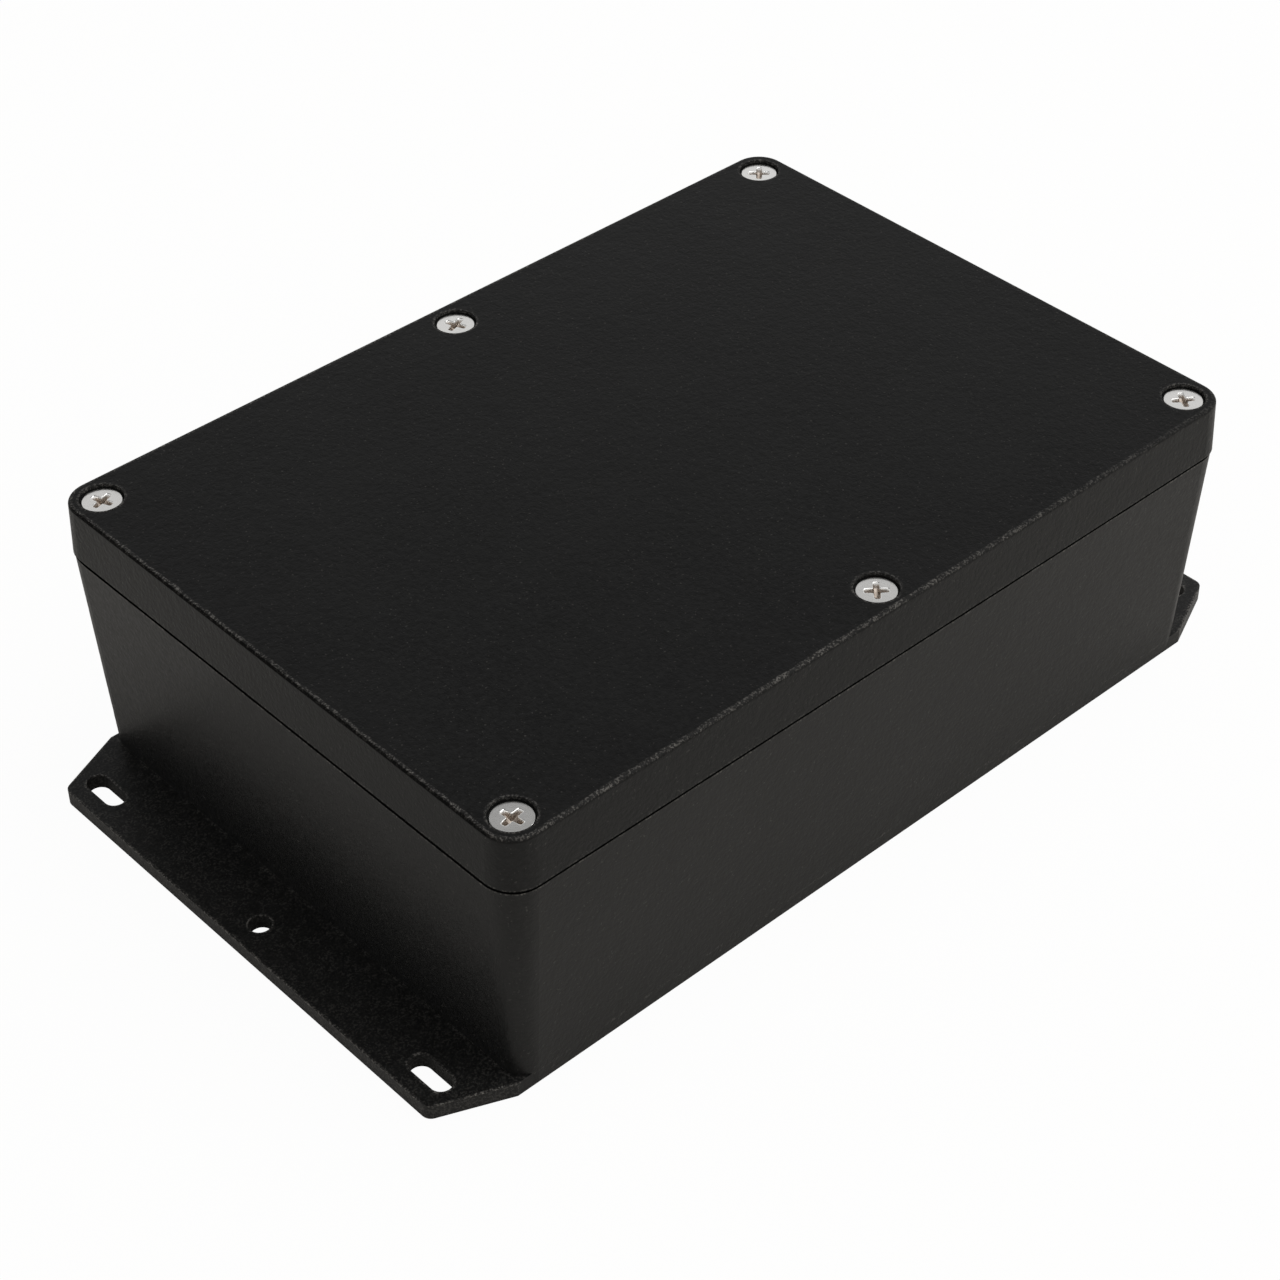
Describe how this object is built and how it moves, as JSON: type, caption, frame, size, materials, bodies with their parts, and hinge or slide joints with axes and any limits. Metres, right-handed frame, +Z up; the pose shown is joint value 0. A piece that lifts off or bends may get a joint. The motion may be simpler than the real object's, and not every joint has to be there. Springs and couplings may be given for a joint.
{
  "type": "flanged enclosure",
  "caption": "Black powder-coated die-cast aluminium electronics enclosure with screwed flat lid, gasket and slotted mounting flanges.",
  "frame": {"origin": "middle of the underside of the base, on the surface it is mounted to", "axes": "+Z up out of the lid, +X along the long side, toward one flange"},
  "size_m": [0.196, 0.1214, 0.058],
  "materials": {
    "coat": "fine-texture black powder coat on die-cast aluminium",
    "steel": "satin steel",
    "rubber": "plain black rubber"
  },
  "bodies": {
    "base": {"base": "coat"},
    "lid": {"lid": "coat", "gasket": "rubber"},
    "screw_front_left": {"screw_front_left": "steel"},
    "screw_front_middle": {"screw_front_middle": "steel"},
    "screw_front_right": {"screw_front_right": "steel"},
    "screw_back_left": {"screw_back_left": "steel"},
    "screw_back_middle": {"screw_back_middle": "steel"},
    "screw_back_right": {"screw_back_right": "steel"}
  },
  "joints": [
    {"name": "lid_lift", "type": "slide", "parent": "base", "child": "lid", "axis": [0, 0, 1], "range_m": [0, 0.07]},
    {"name": "screw_front_left_out", "type": "slide", "parent": "lid", "child": "screw_front_left", "axis": [0, 0, 1], "range_m": [0, 0.022]},
    {"name": "screw_front_middle_out", "type": "slide", "parent": "lid", "child": "screw_front_middle", "axis": [0, 0, 1], "range_m": [0, 0.022]},
    {"name": "screw_front_right_out", "type": "slide", "parent": "lid", "child": "screw_front_right", "axis": [0, 0, 1], "range_m": [0, 0.022]},
    {"name": "screw_back_left_out", "type": "slide", "parent": "lid", "child": "screw_back_left", "axis": [0, 0, 1], "range_m": [0, 0.022]},
    {"name": "screw_back_middle_out", "type": "slide", "parent": "lid", "child": "screw_back_middle", "axis": [0, 0, 1], "range_m": [0, 0.022]},
    {"name": "screw_back_right_out", "type": "slide", "parent": "lid", "child": "screw_back_right", "axis": [0, 0, 1], "range_m": [0, 0.022]}
  ]
}
